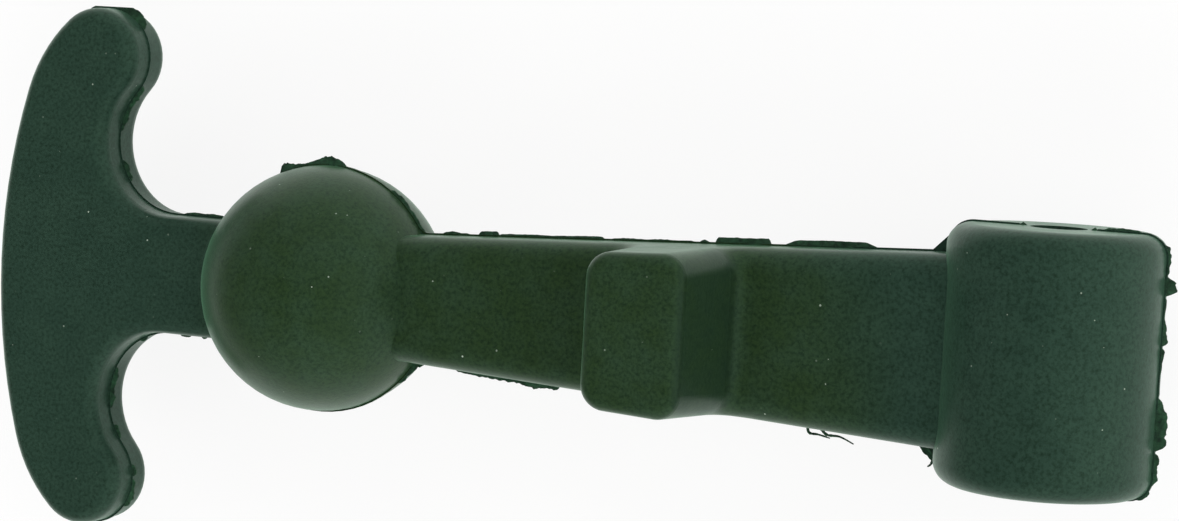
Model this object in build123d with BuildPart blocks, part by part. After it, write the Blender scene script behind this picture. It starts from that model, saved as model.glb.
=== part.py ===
from build123d import *
from math import acos, asin, atan2, cos, degrees, hypot, radians, sin, tan
import os

# Rubber T-handle draw latch, moulded in one piece.
#
# Frame: the origin is the centre of the pivot bore.  +X runs from the handle to the barrel,
# +Y runs along the pivot pin and +Z is the front, the side with the stop lug.  The two halves
# of the mould meet on the XY plane, so every wall is drafted away from it.

# ---- driving dimensions (mm) ----------------------------------------------------------------
mould_draft = 1.0            # degrees, each way from the parting plane

barrel_dia = 24.8            # pivot barrel, lies across the strap
barrel_length = 29.8
barrel_end_radius = 2.6      # rounding of the barrel's two end rims
pin_bore_dia = 6.5           # running fit on a 6.35 mm (1/4 in) pin

ball_dia = 31.0              # ball that seats in the keeper
ball_to_pin = 93.5           # centre of the ball to centre of the pin

strap_thickness = 12.4
strap_width_at_ball = 15.9   # at the parting plane, level with the ball's strap side
strap_width_at_barrel = 22.4 # at the parting plane, level with the barrel's strap side
strap_edge_radius = 3.0      # runs along the strap's front edges and up the lug's corners

lug_to_pin = 38.0            # top of the lug's sloping face to centre of the pin
lug_length = 12.1            # along the strap, at the lug's top
lug_height = 12.3            # above the front of the strap
lug_face_slope = 10.5        # degrees that the face towards the barrel leans back
lug_top_radius = 1.6
lug_foot_radius = 2.0        # hollow where each end face turns into the strap

neck_width = 15.2
handle_thickness = 9.0
handle_edge_radius = 2.0
handle_span = 67.4           # across both tips
handle_to_pin = 140.4        # crown of the handle to centre of the pin
crown_radius = 80.0          # long outer curve of the handle
shoulder_radius = 20.0       # quicker curve that leads into each tip
tip_radius = 6.3
tip_setback = 13.4           # centre of a tip's curve behind the crown
finger_radius = 9.3          # hollow between neck and arm, where the fingers go

neck_blend_radius = 1.5      # neck into ball

flash_thickness = 0.4        # film of rubber squeezed out between the halves of the mould
flash_width = 0.2            # how far it stands out all round
flash_web_radius = 1.8       # where it spans the corners beside the ball
flash_web_at_barrel = 1.9    # how far it spans the corners beside the barrel
flash_gap_at_bore = 9.0      # width of the gap in it round each mouth of the bore
barrel_flash_length = 6.4    # wider stretch on the barrel's far side, towards each end
barrel_flash_width = 1.4

# ---- places worked out from the sizes -------------------------------------------------------
match = 0.01                 # how closely an edge has to lie on a surface to be picked

ball_radius = ball_dia / 2
barrel_radius = barrel_dia / 2
strap_front = strap_thickness / 2
crown_x = -handle_to_pin
ball_x = -ball_to_pin
tip_x = crown_x + tip_setback
tip_y = handle_span / 2 - tip_radius
lug_top = strap_front + lug_height
lug_near_x = -lug_to_pin
lug_far_x = lug_near_x - lug_length
lug_near_foot_x = lug_near_x + lug_height * tan(radians(lug_face_slope))
lug_far_foot_x = lug_far_x - lug_height * tan(radians(mould_draft))
strap_taper_start = ball_x + ball_radius
strap_taper_end = -barrel_radius
strap_taper = (strap_width_at_barrel - strap_width_at_ball) / (strap_taper_end - strap_taper_start)


def strap_half_width(x):
    """Half the strap's width at the parting plane, at this place along the strap."""
    return (strap_width_at_ball + strap_taper * (x - strap_taper_start)) / 2


# Half the outline of the handle is four arcs, each tangent to the next: crown, shoulder, tip and
# finger hollow.  The angles are those at which one arc hands over to the next, seen from the arc's
# own centre and counted from the -X direction.
crown_centre_x = crown_x + crown_radius
tip_reach = hypot(tip_x - crown_centre_x, tip_y)
tip_bearing = degrees(atan2(tip_y, crown_centre_x - tip_x))
to_shoulder = crown_radius - shoulder_radius
shoulder_to_tip = shoulder_radius - tip_radius
crown_angle = tip_bearing - degrees(
    acos((to_shoulder**2 + tip_reach**2 - shoulder_to_tip**2) / (2 * to_shoulder * tip_reach))
)
shoulder_centre_x = crown_centre_x - to_shoulder * cos(radians(crown_angle))
shoulder_centre_y = to_shoulder * sin(radians(crown_angle))
shoulder_angle = degrees(atan2(tip_y - shoulder_centre_y, shoulder_centre_x - tip_x))
finger_centre_y = neck_width / 2 + finger_radius
finger_fall = degrees(asin((tip_y - finger_centre_y) / (tip_radius + finger_radius)))
tip_angle = 180 + finger_fall

# ---- T-handle and neck ----------------------------------------------------------------------
with BuildPart() as t_handle:
    with BuildSketch() as handle_outline:
        with BuildLine():
            crown = JernArc((crown_x, 0), (0, -1), crown_radius, crown_angle)
            shoulder = JernArc(crown @ 1, crown % 1, shoulder_radius, shoulder_angle - crown_angle)
            tip = JernArc(shoulder @ 1, shoulder % 1, tip_radius, tip_angle - shoulder_angle)
            finger = JernArc(tip @ 1, tip % 1, finger_radius, -90 - finger_fall)
            neck_side = Line(finger @ 1, (ball_x, -neck_width / 2))
            neck_end = Line(neck_side @ 1, (ball_x, 0))
            Line(neck_end @ 1, crown @ 0)
        make_face()
        mirror(about=Plane.XZ)
    extrude(amount=handle_thickness / 2, taper=mould_draft)
    fillet(t_handle.faces().sort_by(Axis.Z)[-1].edges(), handle_edge_radius)
    mirror(about=Plane.XY)


# ---- strap with its stop lug ----------------------------------------------------------------
def on_side_rim(edge):
    """True for the edges of the strap's front and of the lug's end faces, along either side."""
    middle = edge @ 0.5
    across = abs(middle.Y) < match
    return strap_front - match < middle.Z < lug_top - match and not across


with BuildSketch() as strap_plan:
    with BuildLine():
        Polyline(
            (ball_x, -strap_half_width(ball_x)),
            (0, -strap_half_width(0)),
            (0, strap_half_width(0)),
            (ball_x, strap_half_width(ball_x)),
            close=True,
        )
    make_face()

with BuildPart() as strap_back:
    add(strap_plan.sketch)
    extrude(amount=strap_front, taper=mould_draft)
    fillet(strap_back.faces().sort_by(Axis.Z)[-1].edges(), strap_edge_radius)
    mirror(about=Plane.XY, mode=Mode.REPLACE)

# The front half is one side profile, strap and lug together, cut to the strap's drafted plan.
with BuildPart() as strap_face:
    with BuildSketch(Plane.XZ) as side_profile:
        with BuildLine():
            Polyline(
                (ball_x, 0),
                (0, 0),
                (0, strap_front),
                (lug_near_foot_x, strap_front),
                (lug_near_x, lug_top),
                (lug_far_x, lug_top),
                (lug_far_foot_x, strap_front),
                (ball_x, strap_front),
                close=True,
            )
        make_face()
        feet = side_profile.vertices().filter_by(
            lambda corner: lug_far_foot_x - match < corner.X < lug_near_foot_x + match
            and abs(corner.Y - strap_front) < match
        )
        fillet(feet, lug_foot_radius)
    extrude(amount=strap_width_at_barrel, both=True)
    add(strap_plan.sketch)
    extrude(amount=lug_top, taper=mould_draft, mode=Mode.INTERSECT)
    fillet(strap_face.edges().filter_by(on_side_rim), strap_edge_radius)
    fillet(strap_face.faces().sort_by(Axis.Z)[-1].edges(), lug_top_radius)

# ---- pivot barrel ---------------------------------------------------------------------------
with BuildPart() as pivot_barrel:
    with BuildSketch(Plane.XZ.offset(-barrel_length / 2)):
        Circle(barrel_radius)
    extrude(amount=barrel_length)
    fillet(pivot_barrel.edges().filter_by(GeomType.CIRCLE), barrel_end_radius)


# ---- flash along the parting plane ----------------------------------------------------------
def beside_ball(corner):
    """True for the corners of the film where the neck and the strap run into the ball."""
    return ball_x - ball_radius < corner.X < strap_taper_end - 2 * flash_width


with BuildPart() as flash:
    with BuildSketch() as film:
        add(handle_outline.sketch)
        add(strap_plan.sketch)
        with Locations((ball_x, 0)):
            Circle(ball_radius)
        RectangleRounded(barrel_dia, barrel_length, barrel_end_radius)
        offset(amount=flash_width)
        fillet(film.vertices().filter_by(beside_ball), flash_web_radius)
        with Locations((strap_taper_end, strap_half_width(strap_taper_end))):
            RegularPolygon(flash_web_at_barrel + flash_width, 4)
        with Locations((barrel_radius, (barrel_length - barrel_flash_length) / 2)):
            Ellipse(barrel_flash_width, barrel_flash_length / 2)
        with Locations((0, barrel_length / 2)):
            Rectangle(flash_gap_at_bore, 2 * flash_width, mode=Mode.SUBTRACT)
        split(bisect_by=Plane.XZ, keep=Keep.BOTTOM)
        mirror(about=Plane.XZ)
    extrude(amount=flash_thickness / 2, both=True)


# ---- the whole moulding ---------------------------------------------------------------------
def on_ball(edge):
    """True for an edge that the neck makes on the ball's skin."""
    from_ball = edge @ 0.5 - Vector(ball_x, 0, 0)
    return abs(from_ball.length - ball_radius) < match and from_ball.X < -ball_radius / 2


with BuildPart() as rubber_latch:
    add(strap_back.part)
    add(strap_face.part)
    add(t_handle.part)
    with Locations((ball_x, 0, 0)):
        Sphere(ball_radius, rotation=(0, 90, 90))
    add(pivot_barrel.part)
    fillet(rubber_latch.edges().filter_by(on_ball), neck_blend_radius)
    add(flash.part)
    Cylinder(pin_bore_dia / 2, barrel_length, rotation=(90, 0, 0), mode=Mode.SUBTRACT)

os.makedirs("parts", exist_ok=True)
rubber_latch.part.label = "rubber_latch"
export_step(rubber_latch.part, "parts/rubber_latch.step")
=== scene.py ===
"""A one-piece rubber T-handle draw latch, finished for display.

The latch is a single compression moulding in black-green rubber.  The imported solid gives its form.
This script gives it the finish of the real moulding: matt rubber with a dusty bloom, the flash that
the two halves of the mould leave along the parting line, and the torn threads that hang from it.
Everything is in metres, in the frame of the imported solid.
"""

import logging
import math
from dataclasses import dataclass, field
from enum import Enum

import bmesh
import bpy
from mathutils import Euler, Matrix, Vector, noise


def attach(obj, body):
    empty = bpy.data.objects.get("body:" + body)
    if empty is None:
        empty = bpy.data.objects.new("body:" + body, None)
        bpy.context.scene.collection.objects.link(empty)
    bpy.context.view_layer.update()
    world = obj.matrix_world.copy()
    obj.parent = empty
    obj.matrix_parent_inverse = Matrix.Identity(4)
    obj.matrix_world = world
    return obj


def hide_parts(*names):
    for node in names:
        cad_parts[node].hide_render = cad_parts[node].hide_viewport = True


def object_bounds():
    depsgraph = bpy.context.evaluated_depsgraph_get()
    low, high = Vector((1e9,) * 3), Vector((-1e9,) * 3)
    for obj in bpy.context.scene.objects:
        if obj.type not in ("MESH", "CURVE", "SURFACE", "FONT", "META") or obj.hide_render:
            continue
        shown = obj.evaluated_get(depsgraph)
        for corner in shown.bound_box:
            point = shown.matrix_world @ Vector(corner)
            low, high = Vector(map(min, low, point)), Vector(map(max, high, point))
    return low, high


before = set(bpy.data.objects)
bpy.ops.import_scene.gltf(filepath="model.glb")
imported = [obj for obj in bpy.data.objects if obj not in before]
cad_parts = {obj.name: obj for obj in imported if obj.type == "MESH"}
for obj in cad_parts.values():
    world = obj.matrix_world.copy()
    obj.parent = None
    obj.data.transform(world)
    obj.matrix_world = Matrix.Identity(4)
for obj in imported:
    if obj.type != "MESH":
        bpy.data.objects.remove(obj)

CAD_LOW, CAD_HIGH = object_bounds()
LOG = logging.getLogger("draw_latch")
BODY = "root"
MOULDING = "rubber_latch"
MM = 0.001
NICK_ROUGHNESS, NICK_FINENESS, NICK_LAYERS = 0.9, 2.0, 3

Socket = bpy.types.NodeSocket


def linear(hex_colour: str) -> tuple[float, float, float, float]:
    """Turns an sRGB hex colour into the linear colour that a shader takes.

    Args:
        hex_colour: six hex digits after a hash.

    Returns:
        Linear red, green, blue and an alpha of one.
    """
    parts = [int(hex_colour[i:i + 2], 16) / 255 for i in (1, 3, 5)]
    red, green, blue = (c / 12.92 if c <= 0.04045 else ((c + 0.055) / 1.055) ** 2.4 for c in parts)
    return red, green, blue, 1.0


def per_metre(spacing_mm: float) -> float:
    """Returns the texture scale at which a pattern repeats every spacing_mm millimetres."""
    return 1 / (spacing_mm * MM)


def add_node(tree: bpy.types.NodeTree, kind: str, inputs: dict | None = None, **settings) -> bpy.types.Node:
    """Adds one node with its settings, its values and the links into it.

    Args:
        tree: the node tree that the node goes into.
        kind: the node's type, such as ShaderNodeTexNoise.
        inputs: for each input, by name or number, a value or the output socket to link from.
        settings: the node's own attributes.

    Returns:
        The new node.
    """
    node = tree.nodes.new(kind)
    for name, value in settings.items():
        setattr(node, name, value)
    for name, value in (inputs or {}).items():
        if isinstance(value, Socket):
            tree.links.new(value, node.inputs[name])
        else:
            node.inputs[name].default_value = value
    return node


def new_material(name: str) -> tuple[bpy.types.Material, bpy.types.NodeTree]:
    """Makes an empty node material.

    Args:
        name: what the material is made of and how its surface was made.

    Returns:
        The material and its node tree.
    """
    material = bpy.data.materials.new(name)
    material.use_nodes = True
    material.node_tree.nodes.clear()
    return material, material.node_tree


@dataclass(frozen=True)
class MouldedRubber:
    """Compression-moulded EPDM rubber, black-green.

    A steel mould with a blasted face leaves the rubber satin with a very fine grain.  Wax in the rubber
    comes up as a thin bloom, yellowish along the middle of the latch and bluish towards both ends, and
    it shows as a green sheen wherever the surface turns away.  Loose dust sticks to it as pale specks.
    The stop lug's face towards the barrel carries painted shade: its colour is mixed towards the deep colour
    there.

    The blasted grain is about 0.1 mm on such a mould.  It is drawn about four times as coarse, because
    it wouldn't show otherwise.
    """

    name: str = "epdm_rubber_moulded"
    cool: str = "#25392f"
    warm: str = "#25371f"
    bloom: str = "#304639"
    deep: str = "#0c1a10"
    dust: str = "#a9b8a8"
    sheen: str = "#98e4b2"
    gloss: str = "#c0f8d6"
    roughness: float = 0.34
    ior: float = 1.5
    gloss_level: float = 0.26
    sheen_weight: float = 0.24
    sheen_roughness: float = 0.35
    warm_from_mm: float = -112.0
    warm_to_mm: float = -16.0
    warm_fade_mm: float = 16.0
    # painted shade on the lug's face towards the barrel: where it starts and where it is full, along x and up
    # z, in mm
    painted_shade_from_mm: tuple[float, float] = (-38.8, -38.0)
    painted_shade_to_mm: tuple[float, float] = (-33.8, -35.6)
    painted_shade_above_mm: tuple[float, float] = (6.0, 7.5)
    bloom_patch_mm: float = 34.0
    cloud_mm: float = 5.0
    grain_mm: float = 0.45
    grain_depth_mm: float = 0.03
    speck_spacing_mm: float = 1.5
    speck_radius_mm: float = 0.14

    def material(self) -> bpy.types.Material:
        """Builds the rubber's material.

        Returns:
            The material.
        """
        material, tree = new_material(self.name)
        place = add_node(tree, "ShaderNodeTexCoord").outputs["Object"]
        clouds = add_node(tree, "ShaderNodeTexNoise",
                          {"Vector": place, "Scale": per_metre(self.cloud_mm), "Detail": 6.0,
                           "Roughness": 0.65})
        grain = add_node(tree, "ShaderNodeTexNoise",
                         {"Vector": place, "Scale": per_metre(self.grain_mm), "Detail": 4.0,
                          "Roughness": 0.7})
        green = add_node(tree, "ShaderNodeMix",
                         {"Factor": self.warm_share(tree, place), "A": linear(self.cool),
                          "B": linear(self.warm)}, data_type="RGBA")
        bloomed = add_node(tree, "ShaderNodeMapRange",
                           {"Value": clouds.outputs["Fac"], "From Min": 0.4, "From Max": 0.8,
                            "To Max": 0.45})
        body = add_node(tree, "ShaderNodeMix",
                        {"Factor": bloomed.outputs["Result"], "A": green.outputs["Result"],
                         "B": linear(self.bloom)}, data_type="RGBA")
        pores = add_node(tree, "ShaderNodeMapRange",
                         {"Value": grain.outputs["Fac"], "From Min": 0.42, "From Max": 0.7,
                          "To Max": 0.75})
        grained = add_node(tree, "ShaderNodeMix",
                           {"Factor": pores.outputs["Result"], "A": body.outputs["Result"],
                            "B": linear(self.deep)}, data_type="RGBA")
        # painted shade: the lug's face towards the barrel is mixed towards the deep colour
        painted_shade = add_node(tree, "ShaderNodeMix",
                         {"Factor": self.painted_shade_share(tree, place, clouds.outputs["Fac"]),
                          "A": grained.outputs["Result"], "B": linear(self.deep)}, data_type="RGBA")
        colour = add_node(tree, "ShaderNodeMix",
                          {"Factor": self.dust_share(tree, place), "A": painted_shade.outputs["Result"],
                           "B": linear(self.dust)}, data_type="RGBA")
        rough = add_node(tree, "ShaderNodeMapRange",
                         {"Value": clouds.outputs["Fac"], "From Min": 0.3, "From Max": 0.7,
                          "To Min": self.roughness - 0.05, "To Max": self.roughness + 0.07})
        relief = add_node(tree, "ShaderNodeBump",
                          {"Height": grain.outputs["Fac"], "Distance": self.grain_depth_mm * MM,
                           "Strength": 0.6})
        shader = add_node(tree, "ShaderNodeBsdfPrincipled",
                          {"Base Color": colour.outputs["Result"], "Roughness": rough.outputs["Result"],
                           "Normal": relief.outputs["Normal"], "IOR": self.ior,
                           "Specular IOR Level": self.gloss_level, "Specular Tint": linear(self.gloss),
                           "Sheen Weight": self.sheen_weight, "Sheen Roughness": self.sheen_roughness,
                           "Sheen Tint": linear(self.sheen)})
        add_node(tree, "ShaderNodeOutputMaterial", {"Surface": shader.outputs["BSDF"]})
        return material

    def warm_share(self, tree: bpy.types.NodeTree, place: Socket) -> Socket:
        """Tells where the bloom is yellowish: along the latch's middle, with a wandering border.

        Args:
            tree: the material's node tree.
            place: where on the object a point lies.

        Returns:
            A share from nothing to one.
        """
        patches = add_node(tree, "ShaderNodeTexNoise",
                           {"Vector": place, "Scale": per_metre(self.bloom_patch_mm), "Detail": 3.0})
        wander = add_node(tree, "ShaderNodeMapRange",
                          {"Value": patches.outputs["Fac"], "To Min": -self.warm_fade_mm * MM,
                           "To Max": self.warm_fade_mm * MM})
        along = add_node(tree, "ShaderNodeSeparateXYZ", {0: place})
        shifted = add_node(tree, "ShaderNodeMath",
                           {0: along.outputs["X"], 1: wander.outputs["Result"]}, operation="ADD")
        start, end, fade = (v * MM for v in (self.warm_from_mm, self.warm_to_mm, self.warm_fade_mm))
        rise = add_node(tree, "ShaderNodeMapRange",
                        {"Value": shifted.outputs["Value"], "From Min": start,
                         "From Max": start + fade}, interpolation_type="SMOOTHSTEP")
        fall = add_node(tree, "ShaderNodeMapRange",
                        {"Value": shifted.outputs["Value"], "From Min": end, "From Max": end - fade},
                        interpolation_type="SMOOTHSTEP")
        share = add_node(tree, "ShaderNodeMath",
                         {0: rise.outputs["Result"], 1: fall.outputs["Result"]}, operation="MULTIPLY")
        return share.outputs["Value"]

    def painted_shade_share(self, tree: bpy.types.NodeTree, place: Socket, unevenness: Socket) -> Socket:
        """Tells where painted shade darkens the colour: on the lug's face towards the barrel.

        Args:
            tree: the material's node tree.
            place: where on the object a point lies.
            unevenness: noise that breaks the painted shade up.

        Returns:
            A share from nothing to one.
        """
        along = add_node(tree, "ShaderNodeSeparateXYZ", {0: place})
        share = unevenness
        for axis, (bare, painted_shade) in (("X", self.painted_shade_from_mm), ("X", self.painted_shade_to_mm),
                                    ("Z", self.painted_shade_above_mm)):
            border = add_node(tree, "ShaderNodeMapRange",
                              {"Value": along.outputs[axis], "From Min": bare * MM,
                               "From Max": painted_shade * MM}, interpolation_type="SMOOTHSTEP")
            share = add_node(tree, "ShaderNodeMath", {0: share, 1: border.outputs["Result"]},
                             operation="MULTIPLY").outputs["Value"]
        return share

    def dust_share(self, tree: bpy.types.NodeTree, place: Socket) -> Socket:
        """Scatters dust specks over the surface, most of them small and faint.

        Args:
            tree: the material's node tree.
            place: where on the object a point lies.

        Returns:
            How much dust lies at a point, from nothing to one.
        """
        cells = add_node(tree, "ShaderNodeTexVoronoi",
                         {"Vector": place, "Scale": per_metre(self.speck_spacing_mm)})
        chance = add_node(tree, "ShaderNodeSeparateColor", {"Color": cells.outputs["Color"]})
        reach = add_node(tree, "ShaderNodeMapRange",
                         {"Value": chance.outputs["Red"], "From Min": 0.2, "From Max": 1.0,
                          "To Max": self.speck_radius_mm / self.speck_spacing_mm})
        inside = add_node(tree, "ShaderNodeMath",
                          {0: cells.outputs["Distance"], 1: reach.outputs["Result"]},
                          operation="LESS_THAN")
        thickness = add_node(tree, "ShaderNodeMath", {0: chance.outputs["Green"], 1: 3.0},
                             operation="POWER")
        share = add_node(tree, "ShaderNodeMath",
                         {0: inside.outputs["Value"], 1: thickness.outputs["Value"]},
                         operation="MULTIPLY")
        return share.outputs["Value"]


@dataclass(frozen=True)
class TornRubberFlash:
    """The thin rubber film that was squeezed out between the mould's halves, torn off by hand.

    A torn film has a rough, dull edge, so it is darker and more uneven than the moulded skin.
    """

    name: str = "epdm_rubber_torn_flash"
    deep: str = "#12261a"
    pale: str = "#2a5036"
    roughness: float = 0.7
    ior: float = 1.5
    gloss_level: float = 0.35
    tear_mm: float = 0.7
    tear_depth_mm: float = 0.06

    def material(self) -> bpy.types.Material:
        """Builds the torn film's material.

        Returns:
            The material.
        """
        material, tree = new_material(self.name)
        place = add_node(tree, "ShaderNodeTexCoord").outputs["Object"]
        tear = add_node(tree, "ShaderNodeTexNoise",
                        {"Vector": place, "Scale": per_metre(self.tear_mm), "Detail": 5.0,
                         "Roughness": 0.7})
        tone = add_node(tree, "ShaderNodeMapRange",
                        {"Value": tear.outputs["Fac"], "From Min": 0.35, "From Max": 0.7})
        colour = add_node(tree, "ShaderNodeMix",
                          {"Factor": tone.outputs["Result"], "A": linear(self.deep),
                           "B": linear(self.pale)}, data_type="RGBA")
        relief = add_node(tree, "ShaderNodeBump",
                          {"Height": tear.outputs["Fac"], "Distance": self.tear_depth_mm * MM,
                           "Strength": 0.8})
        shader = add_node(tree, "ShaderNodeBsdfPrincipled",
                          {"Base Color": colour.outputs["Result"], "Normal": relief.outputs["Normal"],
                           "Roughness": self.roughness, "IOR": self.ior,
                           "Specular IOR Level": self.gloss_level})
        add_node(tree, "ShaderNodeOutputMaterial", {"Surface": shader.outputs["BSDF"]})
        return material


@dataclass(frozen=True)
class PaintedSweep:
    """Matt white paint on the studio's floor and sweep.

    It lights up to white for whatever looks straight at it and still takes the latch's shadow.
    """

    name: str = "emulsion_paint_rolled"
    colour: str = "#f4f4f2"
    own_light: float = 0.86

    def material(self) -> bpy.types.Material:
        """Builds the sweep's material.

        Returns:
            The material.
        """
        material, tree = new_material(self.name)
        rays = add_node(tree, "ShaderNodeLightPath")
        seen = add_node(tree, "ShaderNodeMath",
                        {0: rays.outputs["Is Camera Ray"], 1: rays.outputs["Is Glossy Ray"]},
                        operation="MAXIMUM")
        looked_at = add_node(tree, "ShaderNodeMath",
                             {0: seen.outputs["Value"], 1: rays.outputs["Is Transmission Ray"]},
                             operation="MAXIMUM")
        share = add_node(tree, "ShaderNodeMath", {0: looked_at.outputs["Value"], 1: self.own_light},
                         operation="MULTIPLY")
        paint = add_node(tree, "ShaderNodeBsdfDiffuse", {"Color": linear(self.colour)})
        glow = add_node(tree, "ShaderNodeEmission", {"Color": (1, 1, 1, 1), "Strength": 1.0})
        mixed = add_node(tree, "ShaderNodeMixShader",
                         {0: share.outputs["Value"], 1: paint.outputs["BSDF"],
                          2: glow.outputs["Emission"]})
        add_node(tree, "ShaderNodeOutputMaterial", {"Surface": mixed.outputs["Shader"]})
        return material


class Tear(Enum):
    """How a stretch of flash came off.  The value is how uneven its edge is, as a share of its width."""

    CLEAN = 0.08
    TORN = 0.25
    CHEWED = 0.5


@dataclass(frozen=True)
class FlashStretch:
    """One stretch of flash, counter-clockwise along the parting line from start to end.

    Attributes:
        start: a place near the parting line, in mm, where the stretch begins.
        end: where it ends.
        widths: how far it stands out at even places from start to end, in mm.
        ramp: how long it takes to rise at either end, in mm.
        tear: how it came off.
        nick: how long the nicks in its edge are, in mm.
    """

    start: tuple[float, float]
    end: tuple[float, float]
    widths: tuple[float, ...]
    ramp: float = 0.3
    tear: Tear = Tear.TORN
    nick: float = 0.8

    def width_at(self, gone: float, total: float, draw: Vector) -> float:
        """Tells how far the film stands out at a place along the stretch.

        Args:
            gone: distance from the stretch's start, in metres.
            total: the stretch's length, in metres.
            draw: where the unevenness is taken from.

        Returns:
            The width in metres.
        """
        place = gone / total * (len(self.widths) - 1)
        before = min(int(place), len(self.widths) - 2)
        here, there = self.widths[before:before + 2]
        even = (here + (place - before) * (there - here)) * MM
        rise = min(1.0, min(gone, total - gone) / (self.ramp * MM))
        nicks = noise.fractal(draw + Vector((gone / (self.nick * MM), 0, 0)),
                              NICK_ROUGHNESS, NICK_FINENESS, NICK_LAYERS)
        return even * rise * max(0.0, 1 + self.tear.value * nicks)


@dataclass
class PartingLine:
    """The line round the latch where the halves of the mould met.

    Attributes:
        height: how far above the parting plane the moulding is cut to find the line, in metres.
        bore_radius: radius of the pin bore, whose wall carries no flash, in metres.
        step: spacing of the points along the line, in metres.
        smoothing: how far ahead and behind the line's direction is taken, in metres.
    """

    height: float
    bore_radius: float
    step: float = 0.2 * MM
    smoothing: float = 0.6 * MM
    paths: list[list[Vector]] = field(default_factory=list)

    def trace(self, moulding: bpy.types.Object) -> None:
        """Cuts a copy of the moulding at the parting plane and keeps the outline as even paths.

        Args:
            moulding: the latch's moulding.
        """
        cut = bmesh.new()
        cut.from_mesh(moulding.data)
        bmesh.ops.remove_doubles(cut, verts=cut.verts, dist=0.001 * MM)
        found = bmesh.ops.bisect_plane(cut, geom=cut.verts[:] + cut.edges[:] + cut.faces[:],
                                       plane_co=(0, 0, self.height), plane_no=(0, 0, 1))
        cut.verts.index_update()
        ends = [(e.verts[0].index, e.verts[1].index) for e in found["geom_cut"]
                if isinstance(e, bmesh.types.BMEdge)]
        places = {v.index: v.co.xy.copy() for v in cut.verts}
        cut.free()
        neighbours: dict[int, list[int]] = {}
        for first, second in ends:
            neighbours.setdefault(first, []).append(second)
            neighbours.setdefault(second, []).append(first)
        unseen = sorted(neighbours)
        while unseen:
            loop = self._walk(unseen[0], neighbours)
            unseen = [i for i in unseen if i not in loop]
            self.paths.append(self._even(self._outside_bore([places[i] for i in loop])))

    def _walk(self, start: int, neighbours: dict[int, list[int]]) -> list[int]:
        """Follows one closed loop of the cut.

        Args:
            start: the corner to start from.
            neighbours: for each corner, the corners next to it.

        Returns:
            The loop's corners in order.
        """
        loop = [start]
        while True:
            onward = [n for n in neighbours[loop[-1]] if n not in loop[-2:]]
            if not onward or onward[0] == start:
                return loop
            loop.append(onward[0])

    def _outside_bore(self, loop: list[Vector]) -> list[Vector]:
        """Turns a loop counter-clockwise, opens it at the bore and leaves the bore's wall out.

        Args:
            loop: the loop's corners in order.

        Returns:
            The corners that are left, from one side of the bore to the other.
        """
        if sum(a.cross(b) for a, b in zip(loop, loop[1:] + loop[:1])) < 0:
            loop = loop[::-1]
        inside = [abs(p.x) < self.bore_radius for p in loop]
        opening = max((i for i in range(len(loop)) if inside[i - 1] and not inside[i]), default=0)
        turned = loop[opening:] + loop[:opening]
        return [p for p in turned if abs(p.x) >= self.bore_radius]

    def _even(self, corners: list[Vector]) -> list[Vector]:
        """Spaces points evenly along a path.

        Args:
            corners: the path's corners in order.

        Returns:
            Points one step apart.
        """
        points = [corners[0]]
        left = self.step
        for a, b in zip(corners, corners[1:]):
            length = (b - a).length
            along = left
            while along < length:
                points.append(a.lerp(b, along / length))
                along += self.step
            left = along - length
        return points

    def stretch(self, start: tuple[float, float],
                end: tuple[float, float]) -> list[tuple[Vector, Vector]]:
        """Finds the part of the line between two places.

        Args:
            start: a place near the line, in mm.
            end: a place near the line, in mm, counter-clockwise from start.

        Returns:
            Points along the line, each with the direction that points away from the moulding.
        """
        first, last = Vector(start) * MM, Vector(end) * MM
        path = min(self.paths, key=lambda p: min((q - first).length for q in p))
        begin = min(range(len(path)), key=lambda i: (path[i] - first).length)
        finish = min(range(len(path)), key=lambda i: (path[i] - last).length)
        if finish < begin:
            finish += len(path)
        spread = round(self.smoothing / self.step)
        found = []
        for i in range(begin, finish + 1):
            ahead, behind = path[(i + spread) % len(path)], path[(i - spread) % len(path)]
            tangent = (ahead - behind).normalized()
            found.append((path[i % len(path)], Vector((tangent.y, -tangent.x))))
        return found


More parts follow.
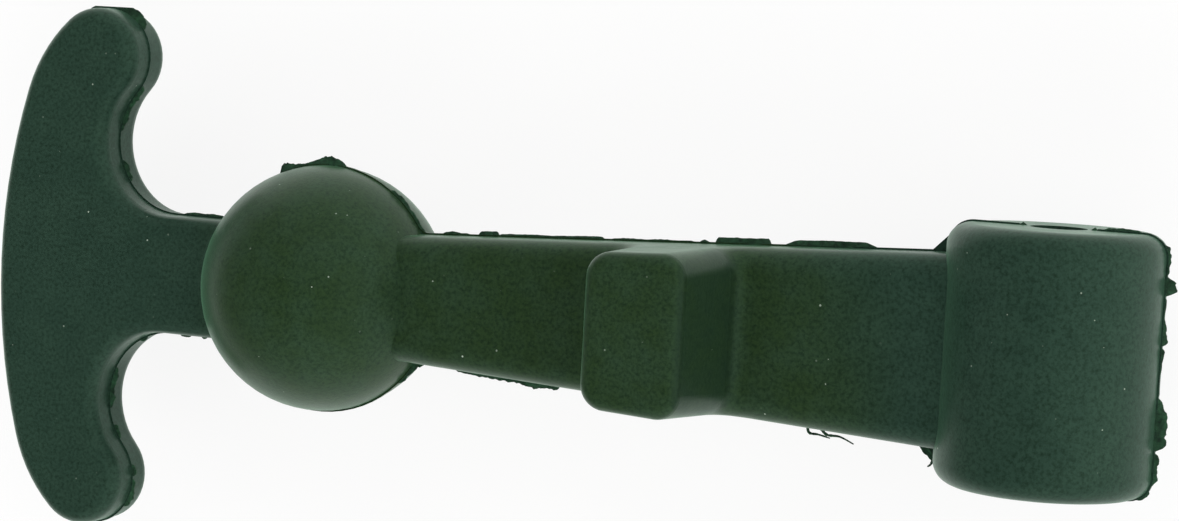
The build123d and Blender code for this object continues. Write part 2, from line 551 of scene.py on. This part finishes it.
@dataclass
class ShedFlash:
    """All the flash that still stands on one part of the latch.

    Attributes:
        name: the piece's name.
        stretches: where the film still stands, and how it was torn.
        seed: fixes how the tears fall.
        root_thickness: the film's thickness at the moulding, in mm.
        edge_thickness: the film's thickness at its torn edge, in mm.
        bury: how far the film's root goes into the moulding, in mm.
        rows: how many points lie across the film.
        curl: how far the torn edge lifts or drops, as a share of the film's width.
        curl_length: how long one such wave is, in mm.
    """

    name: str
    stretches: tuple[FlashStretch, ...]
    seed: int
    root_thickness: float = 0.5
    edge_thickness: float = 0.18
    bury: float = 0.45
    rows: int = 4
    curl: float = 0.5
    curl_length: float = 2.5

    def build(self, line: PartingLine, finish: bpy.types.Material) -> bpy.types.Object:
        """Builds every stretch as closed strips of film in one mesh.

        Args:
            line: the parting line that the film stands on.
            finish: the torn film's material.

        Returns:
            The piece.
        """
        film = bmesh.new()
        for number, stretch in enumerate(self.stretches):
            self._strip(film, line.stretch(stretch.start, stretch.end), stretch,
                        Vector((self.seed, number * 7.3, 0)))
        bmesh.ops.recalc_face_normals(film, faces=film.faces)
        return finished_piece(self.name, film, finish)

    def _strip(self, film: bmesh.types.BMesh, along: list[tuple[Vector, Vector]],
               stretch: FlashStretch, draw: Vector) -> None:
        """Adds one closed strip of film.

        Args:
            film: the mesh that the strip goes into.
            along: the strip's root, point by point, with the way out from the moulding.
            stretch: how wide the strip is and how it was torn.
            draw: where this strip's unevenness is taken from.
        """
        sections = []
        total = sum((b[0] - a[0]).length for a, b in zip(along, along[1:]))
        gone = 0.0
        for number, (root, out) in enumerate(along):
            if number:
                gone += (root - along[number - 1][0]).length
            width = stretch.width_at(gone, total, draw)
            lift = noise.noise(draw + Vector((gone / (self.curl_length * MM), 5, 0))) * width * self.curl
            top, under = [], []
            for row in range(self.rows):
                share = row / (self.rows - 1)
                reach = -self.bury * MM + share * (width + self.bury * MM)
                half = 0.5 * MM * (self.root_thickness + share * (self.edge_thickness - self.root_thickness))
                place = within_box(root + out * reach)
                top.append(film.verts.new((place.x, place.y, lift * share ** 2 + half)))
                under.append(film.verts.new((place.x, place.y, lift * share ** 2 - half)))
            sections.append(top + under[::-1])
        for a, b in zip(sections, sections[1:]):
            for i in range(len(a)):
                j = (i + 1) % len(a)
                film.faces.new((a[i], a[j], b[j], b[i]))
        film.faces.new(sections[0])
        film.faces.new(sections[-1][::-1])


def within_box(place: Vector) -> Vector:
    """Returns the place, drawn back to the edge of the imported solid's box where it lies outside."""
    return Vector((min(max(place.x, CAD_LOW.x), CAD_HIGH.x), min(max(place.y, CAD_LOW.y), CAD_HIGH.y)))


def finished_piece(name: str, mesh_code: bmesh.types.BMesh, finish: bpy.types.Material) -> bpy.types.Object:
    """Turns mesh code into a piece that rides on the latch's body.

    Args:
        name: the piece's name.
        mesh_code: the mesh, which is used up.
        finish: the piece's material.

    Returns:
        The piece.
    """
    mesh = bpy.data.meshes.new(name)
    mesh_code.to_mesh(mesh)
    mesh_code.free()
    mesh.materials.append(finish)
    piece = bpy.data.objects.new(name, mesh)
    bpy.context.scene.collection.objects.link(piece)
    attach(piece, BODY)
    return piece


@dataclass
class LooseThreads:
    """Thin threads of flash that tore off at one end and hang from the parting line.

    Attributes:
        name: the piece's name.
        routes: for each thread the places that it passes, in mm.
        radius: half a thread's thickness, in mm.
        sides: how many sides a thread has.
        steps: points along a thread from one place to the next.
        root_swell: how much thicker than the radius a thread is where it hangs on.
        taper: how much of the radius it loses by its free end.
        unevenness: how much its thickness wanders.
        flatness: its height as a share of its width.
    """

    name: str
    routes: tuple[tuple[tuple[float, float, float], ...], ...]
    radius: float = 0.19
    sides: int = 8
    steps: int = 8
    root_swell: float = 1.15
    taper: float = 0.75
    unevenness: float = 0.35
    flatness: float = 0.7

    def build(self, finish: bpy.types.Material) -> bpy.types.Object:
        """Builds the threads as closed tapering tubes in one mesh.

        Args:
            finish: the torn film's material.

        Returns:
            The piece.
        """
        threads = bmesh.new()
        for number, route in enumerate(self.routes):
            self._thread(threads, [Vector(p) * MM for p in route], number)
        bmesh.ops.recalc_face_normals(threads, faces=threads.faces)
        return finished_piece(self.name, threads, finish)

    def _thread(self, threads: bmesh.types.BMesh, route: list[Vector], number: int) -> None:
        """Adds one thread.

        Args:
            threads: the mesh that the thread goes into.
            route: the places that it passes, in metres.
            number: the thread's number, which fixes its unevenness.
        """
        line = smooth_run(route, self.steps)
        rings = []
        for i, place in enumerate(line):
            onward = (line[min(i + 1, len(line) - 1)] - line[max(i - 1, 0)]).normalized()
            side = onward.cross(Vector((0, 0, 1))).normalized()
            over = side.cross(onward)
            share = i / (len(line) - 1)
            thick = self.radius * MM * (self.root_swell - self.taper * share)
            thick *= 1 + self.unevenness * noise.noise(Vector((i * 0.6, number * 5.0, 1.0)))
            angles = (math.tau * k / self.sides for k in range(self.sides))
            rings.append([threads.verts.new(place + thick * (side * math.cos(a)
                                                             + over * self.flatness * math.sin(a)))
                          for a in angles])
        for a, b in zip(rings, rings[1:]):
            for k in range(self.sides):
                n = (k + 1) % self.sides
                face = threads.faces.new((a[k], a[n], b[n], b[k]))
                face.smooth = True
        threads.faces.new(rings[0])
        threads.faces.new(rings[-1][::-1])


def smooth_run(route: list[Vector], steps: int) -> list[Vector]:
    """Runs a smooth line through a few places.

    Args:
        route: the places, in order.
        steps: points between one place and the next.

    Returns:
        The line's points.
    """
    line = [route[0]]
    for i in range(len(route) - 1):
        before, here, there, after = (route[max(i - 1, 0)], route[i], route[i + 1],
                                      route[min(i + 2, len(route) - 1)])
        for k in range(1, steps + 1):
            t = k / steps
            line.append(0.5 * (2 * here + (there - before) * t
                               + (2 * before - 5 * here + 4 * there - after) * t ** 2
                               + (3 * here - before - 3 * there + after) * t ** 3))
    return line


@dataclass
class LatchBody:
    """The moulding itself: handle, neck, ball, strap, stop lug and pivot barrel in one.

    Attributes:
        finish: the rubber.
        film_edge: where the moulded film ends on the barrel's far side and on its ends, in mm.
        film_corner: radius of the film's corners there, in mm.
        left_standing: how much is left of the two wider stretches of film on the barrel's far side,
            which came off when the latch was trimmed.
    """

    finish: MouldedRubber = MouldedRubber()
    film_edge: tuple[float, float] = (12.6, 15.1)
    film_corner: float = 2.8
    left_standing: float = 0.05

    def build(self) -> bpy.types.Object:
        """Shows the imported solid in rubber, with the barrel's film trimmed back.

        Returns:
            The moulding.
        """
        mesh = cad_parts[MOULDING].data.copy()
        for corner in mesh.vertices:
            corner.co = self._trimmed(corner.co)
        mesh.materials.clear()
        mesh.materials.append(self.finish.material())
        moulding = bpy.data.objects.new("latch_moulding", mesh)
        bpy.context.scene.collection.objects.link(moulding)
        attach(moulding, BODY)
        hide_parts(MOULDING)
        return moulding

    def _trimmed(self, place: Vector) -> Vector:
        """Draws a place on the barrel's far side back towards the film's even edge.

        Args:
            place: a corner of the solid.

        Returns:
            The same place, or one nearer the barrel where the film stood wider.
        """
        radius = self.film_corner * MM
        reach_x, reach_y = (edge * MM - radius for edge in self.film_edge)
        if place.x < reach_x:
            return place
        middle = Vector((reach_x, min(max(place.y, -reach_y), reach_y)))
        beyond = place.xy - middle
        if beyond.length <= radius:
            return place
        edge = middle + beyond.normalized() * (radius + self.left_standing * (beyond.length - radius))
        return Vector((edge.x, edge.y, place.z))


@dataclass
class SoftLamp:
    """One large soft box.

    Attributes:
        name: the lamp's name.
        place: where it hangs, in metres from the latch's middle.
        size: its width and depth, in metres.
        power: its strength, in watts.
    """

    name: str
    place: tuple[float, float, float]
    size: tuple[float, float]
    power: float

    def hang(self, middle: Vector) -> bpy.types.Object:
        """Hangs the lamp so that it faces the latch.

        Args:
            middle: the latch's middle.

        Returns:
            The lamp.
        """
        lamp = bpy.data.lights.new(self.name, "AREA")
        lamp.shape = "RECTANGLE"
        lamp.size, lamp.size_y = self.size
        lamp.energy = self.power
        holder = bpy.data.objects.new(self.name, lamp)
        bpy.context.scene.collection.objects.link(holder)
        holder.location = middle + Vector(self.place)
        holder.rotation_euler = (middle - holder.location).to_track_quat("-Z", "Y").to_euler()
        holder.visible_camera = False
        holder.visible_glossy = False
        return holder


@dataclass
class Studio:
    """A white sweep, soft boxes and the camera above the latch's front.

    Attributes:
        lamps: the soft boxes.
        paint: the sweep's finish.
        floor_reach: how far the sweep goes each way, in metres.
        low_ambient: how bright the room is at the height of the latch.
        high_ambient: how bright it is straight overhead.
        handle_side_share: how much of that brightness is left on the handle's side of the room.
        camera_place: where the camera hangs, in metres.
        camera_turn: how it is turned, in degrees.
        camera_lens: its focal length, in mm.
        camera_sensor: its sensor's width, in mm.
    """

    lamps: tuple[SoftLamp, ...] = (
        SoftLamp("lamp_upper_side", (0.0, 0.7, 0.5), (1.0, 0.5), 4.0),
        SoftLamp("lamp_lower_side", (0.0, -0.7, 0.5), (1.0, 0.5), 5.0),
        SoftLamp("lamp_handle_side", (-0.7, 0.0, 0.5), (0.5, 0.8), 1.4),
        SoftLamp("lamp_barrel_side", (0.7, 0.0, 0.4), (0.5, 0.8), 3.2),
    )
    paint: PaintedSweep = PaintedSweep()
    floor_reach: float = 3.0
    low_ambient: float = 1.0
    high_ambient: float = 0.12
    handle_side_share: float = 0.15
    camera_place: tuple[float, float, float] = (0.076924, 0.033163, 0.309874)
    camera_turn: tuple[float, float, float] = (-3.144, 23.632, 3.451)
    camera_lens: float = 85.496
    camera_sensor: float = 36.0

    def build(self) -> None:
        """Sets up the sweep, the lamps, the surroundings and the camera."""
        self._sweep()
        middle = (CAD_LOW + CAD_HIGH) / 2
        for lamp in self.lamps:
            lamp.hang(middle)
        self._surroundings()
        self._camera()

    def _sweep(self) -> None:
        """Lays the floor that the latch rests on."""
        sweep = bmesh.new()
        bmesh.ops.create_grid(sweep, x_segments=2, y_segments=2, size=self.floor_reach)
        bmesh.ops.translate(sweep, verts=sweep.verts, vec=(0, 0, CAD_LOW.z))
        mesh = bpy.data.meshes.new("sweep")
        sweep.to_mesh(mesh)
        sweep.free()
        mesh.materials.append(self.paint.material())
        floor = bpy.data.objects.new("sweep", mesh)
        bpy.context.scene.collection.objects.link(floor)

    def _surroundings(self) -> None:
        """Lights the latch from all round, bright low down, dim overhead and dimmer on the handle's side, and
        shows white where nothing stands.
        """
        world = bpy.data.worlds.new("white_room")
        world.use_nodes = True
        tree = world.node_tree
        tree.nodes.clear()
        rays = add_node(tree, "ShaderNodeLightPath")
        toward = add_node(tree, "ShaderNodeTexCoord").outputs["Generated"]
        climb = add_node(tree, "ShaderNodeSeparateXYZ", {0: toward})
        light = add_node(tree, "ShaderNodeMapRange",
                         {"Value": climb.outputs["Z"], "To Min": self.low_ambient,
                          "To Max": self.high_ambient})
        side = add_node(tree, "ShaderNodeMapRange",
                        {"Value": climb.outputs["X"], "From Min": -1.0, "From Max": 0.2,
                         "To Min": self.handle_side_share})
        room = add_node(tree, "ShaderNodeMath",
                        {0: light.outputs["Result"], 1: side.outputs["Result"]}, operation="MULTIPLY")
        strength = add_node(tree, "ShaderNodeMapRange",
                            {"Value": rays.outputs["Is Camera Ray"], "To Min": room.outputs["Value"]})
        white = add_node(tree, "ShaderNodeBackground",
                         {"Color": (1, 1, 1, 1), "Strength": strength.outputs["Result"]})
        add_node(tree, "ShaderNodeOutputWorld", {"Surface": white.outputs["Background"]})
        bpy.context.scene.world = world

    def _camera(self) -> None:
        """Places the camera above the latch's front, leaning towards the handle."""
        lens = bpy.data.cameras.new("camera")
        lens.lens = self.camera_lens
        lens.sensor_width = self.camera_sensor
        lens.clip_start = 0.01
        camera = bpy.data.objects.new("camera", lens)
        bpy.context.scene.collection.objects.link(camera)
        camera.location = self.camera_place
        camera.rotation_euler = Euler([math.radians(a) for a in self.camera_turn])
        bpy.context.scene.camera = camera


FLASH = (
    ShedFlash("strap_flash", (
        FlashStretch((-21.2, 10.9), (-32.4, 10.3), (0.5, 0.6, 0.5), ramp=1.3, tear=Tear.CLEAN),
        FlashStretch((-34.1, 10.2), (-41.2, 9.8), (0.6, 0.6), tear=Tear.CLEAN),
        FlashStretch((-42.0, 9.8), (-43.2, 9.7), (0.2, 0.3), ramp=0.5),
        FlashStretch((-44.0, 9.7), (-54.6, 9.2), (0.1, 0.05, 0.15, 0.05, 0.15, 0.05), tear=Tear.CHEWED),
        FlashStretch((-55.6, 9.1), (-69.4, 8.5), (0.25, 0.2, 0.15, 0.2, 0.15)),
        FlashStretch((-69.4, 8.5), (-72.3, 8.4), (0.45, 0.4), tear=Tear.CLEAN),
        FlashStretch((-73.4, 8.3), (-77.2, 8.1), (0.1, 0.1, 0.3, 0.1), ramp=0.5),
        FlashStretch((-74.6, -8.4), (-60.2, -9.1), (0.4, 0.5, 0.6, 0.6, 0.65, 0.6, 1.0, 0.65, 0.8), nick=0.6),
    ), seed=3),
    ShedFlash("corner_flash", (
        FlashStretch((-79.6, 8.6), (-84.6, 13.0), (0.1, 0.3, 0.2, 0.4, 0.2), tear=Tear.CHEWED),
        FlashStretch((-82.2, -11.2), (-78.6, -8.4), (0.2, 0.3, 0.4, 0.5, 0.6, 0.2), tear=Tear.CHEWED),
        FlashStretch((-15.0, -11.6), (-12.6, -13.6), (0.2, 0.4, 0.2), tear=Tear.CHEWED),
    ), seed=11),
    ShedFlash("barrel_flash", (
        FlashStretch((10.9, -14.9), (12.2, -13.6), (0.3, 0.2, 0.3), tear=Tear.CHEWED, nick=0.5),
        FlashStretch((12.5, -13.2), (12.6, -9.4), (0.1, 0.4, 0.3, 0.4, 0.4), tear=Tear.CHEWED, nick=0.5),
        FlashStretch((12.6, -9.3), (12.6, -3.2), (0.6, 1.2, 1.2, 1.2, 1.2, 0.6, 0.3), nick=0.6),
        FlashStretch((12.6, -3.1), (12.6, 2.4), (0.1, 0.0, 0.0, 0.1, 0.2, 0.3), tear=Tear.CHEWED),
        FlashStretch((12.6, 2.5), (12.6, 8.0), (0.5, 0.5, 0.3, 0.0, 0.1, 0.2), tear=Tear.CHEWED),
        FlashStretch((12.6, 8.1), (12.6, 10.4), (0.5, 1.1, 1.0, 0.9, 0.2), nick=0.6),
        FlashStretch((12.6, 10.5), (12.1, 13.8), (0.2, 0.1, 0.3, 0.2, 0.4), tear=Tear.CHEWED, nick=0.5),
        FlashStretch((9.4, 15.1), (5.1, 15.1), (0.1, 0.2, 0.3, 0.2, 0.1), tear=Tear.CHEWED),
        FlashStretch((4.5, 14.9), (3.4, 14.9), (0.4, 0.4), tear=Tear.CHEWED),
        FlashStretch((-3.4, 14.9), (-4.5, 14.9), (0.3, 0.3), tear=Tear.CHEWED),
    ), seed=23),
    ShedFlash("ball_flash", (
        FlashStretch((-91.2, 15.5), (-100.8, 14.0),
                     (0.1, 0.6, 0.9, 0.95, 0.6, 0.35, 0.2, 0.35, 0.6, 1.1, 0.1), nick=0.5),
    ), seed=37),
    ShedFlash("handle_flash", (
        FlashStretch((-108.4, 7.6), (-114.4, 7.8), (0.1, 0.3, 0.2, 0.3, 0.1)),
        FlashStretch((-121.8, 12.2), (-123.2, 14.4), (0.3, 0.5, 0.3), tear=Tear.CHEWED),
        FlashStretch((-123.6, 17.8), (-120.8, 23.2), (0.2, 0.5, 0.4, 0.6, 0.3), tear=Tear.CHEWED),
        FlashStretch((-121.8, 31.0), (-130.2, 33.0), (0.4, 0.9, 1.0, 0.9, 0.3, 0.1, 0.1, 0.5, 0.2)),
        FlashStretch((-122.4, -30.7), (-121.4, -27.4), (0.2, 0.6, 0.5, 0.3), tear=Tear.CHEWED),
        FlashStretch((-121.6, -27.2), (-120.8, -25.6), (0.5, 0.4), tear=Tear.CHEWED),
        FlashStretch((-122.9, -22.4), (-123.7, -20.6), (0.3, 0.5), tear=Tear.CHEWED),
        FlashStretch((-124.8, -18.6), (-123.6, -13.2), (0.4, 0.6, 0.5, 0.6, 0.3), tear=Tear.CHEWED),
        FlashStretch((-120.5, -8.9), (-119.4, -8.5), (0.3, 0.3)),
        FlashStretch((-114.4, -7.6), (-112.6, -7.6), (0.3, 0.3)),
        FlashStretch((-111.1, -7.6), (-110.1, -7.6), (0.3, 0.3)),
    ), seed=41),
)

THREADS = LooseThreads("loose_threads", (
    ((-28.3, -10.5, 0.0), (-28.0, -11.4, 0.1), (-26.8, -11.5, 0.2), (-25.4, -11.8, 0.1)),
    ((-26.7, -10.6, 0.1), (-25.8, -11.4, 0.2), (-24.2, -11.5, 0.1), (-22.5, -12.2, 0.0)),
    ((-12.8, -12.4, 0.0), (-13.0, -13.4, 0.1), (-13.4, -13.8, 0.2)),
))


def main() -> None:
    """Builds and dresses the latch, then sets up the studio."""
    scene = bpy.context.scene
    scene.view_settings.view_transform = "Standard"
    moulding = LatchBody().build()
    LOG.info("built %s", moulding.name)
    line = PartingLine(height=0.05 * MM, bore_radius=3.3 * MM)
    line.trace(moulding)
    torn = TornRubberFlash().material()
    for flash in FLASH:
        LOG.info("built %s", flash.build(line, torn).name)
    LOG.info("built %s", THREADS.build(torn).name)
    Studio().build()
    LOG.info("set up the studio")


if __name__ == "__main__":
    logging.basicConfig(level=logging.INFO, format="%(message)s")
    main()
